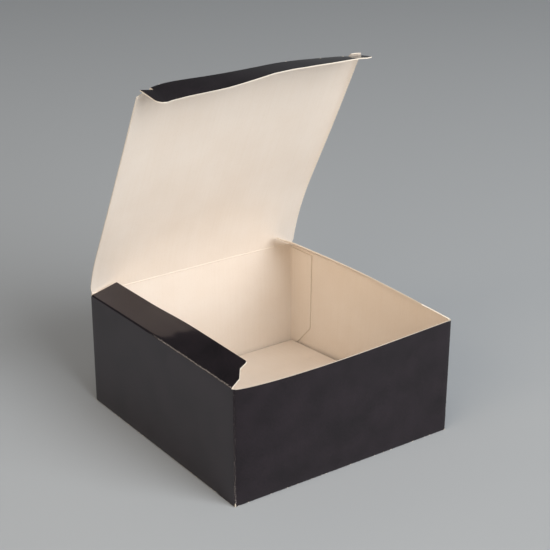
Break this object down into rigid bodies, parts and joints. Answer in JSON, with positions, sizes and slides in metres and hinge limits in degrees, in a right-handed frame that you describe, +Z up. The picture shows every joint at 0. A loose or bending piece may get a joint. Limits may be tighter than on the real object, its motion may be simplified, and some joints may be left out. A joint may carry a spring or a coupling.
{
  "type": "burger box",
  "caption": "Square folding-board takeaway box with a glued crash-lock base, hinged lid with tuck-in flap and side dust flaps, black outside and cream inside, standing open.",
  "frame": {"origin": "centre of the walls' footprint, on the surface that the box stands on", "axes": "+Z up, +Y towards the back wall that carries the lid, +X to the right seen from the front"},
  "size_m": [0.12, 0.1269, 0.169],
  "materials": {
    "black_faced_board": "folding board, satin black coating outside, bare cream board inside and on cut edges"
  },
  "bodies": {
    "carton": {"carton_body": "black_faced_board"},
    "lid": {"lid_panel": "black_faced_board"},
    "tuck": {"tuck_flap": "black_faced_board"},
    "left_flap": {"left_dust_flap": "black_faced_board"},
    "right_flap": {"right_dust_flap": "black_faced_board"}
  },
  "joints": [
    {"name": "lid_hinge", "type": "hinge", "parent": "carton", "child": "lid", "pos_m": [0, 0.0615, 0.057], "axis": [-1, 0, 0], "range_deg": [-64.9, 138]},
    {"name": "tuck_flap_hinge", "type": "hinge", "parent": "lid", "child": "tuck", "pos_m": [0, 0.00987, 0.1671], "axis": [1, 0, 0], "range_deg": [-63.5, 29.9]},
    {"name": "left_flap_hinge", "type": "hinge", "parent": "carton", "child": "left_flap", "pos_m": [-0.05975, 0, 0.0562], "axis": [0, -1, 0], "range_deg": [-23.4, 49.7]},
    {"name": "right_flap_hinge", "type": "hinge", "parent": "carton", "child": "right_flap", "pos_m": [0.05975, 0, 0.0562], "axis": [0, 1, 0], "range_deg": [-36.1, 76.6]}
  ],
  "couplings": [
    {"joint": "tuck_flap_hinge", "follows": "lid_hinge", "ratio": -0.46},
    {"joint": "left_flap_hinge", "follows": "lid_hinge", "ratio": 0.36},
    {"joint": "right_flap_hinge", "follows": "lid_hinge", "ratio": 0.555}
  ]
}
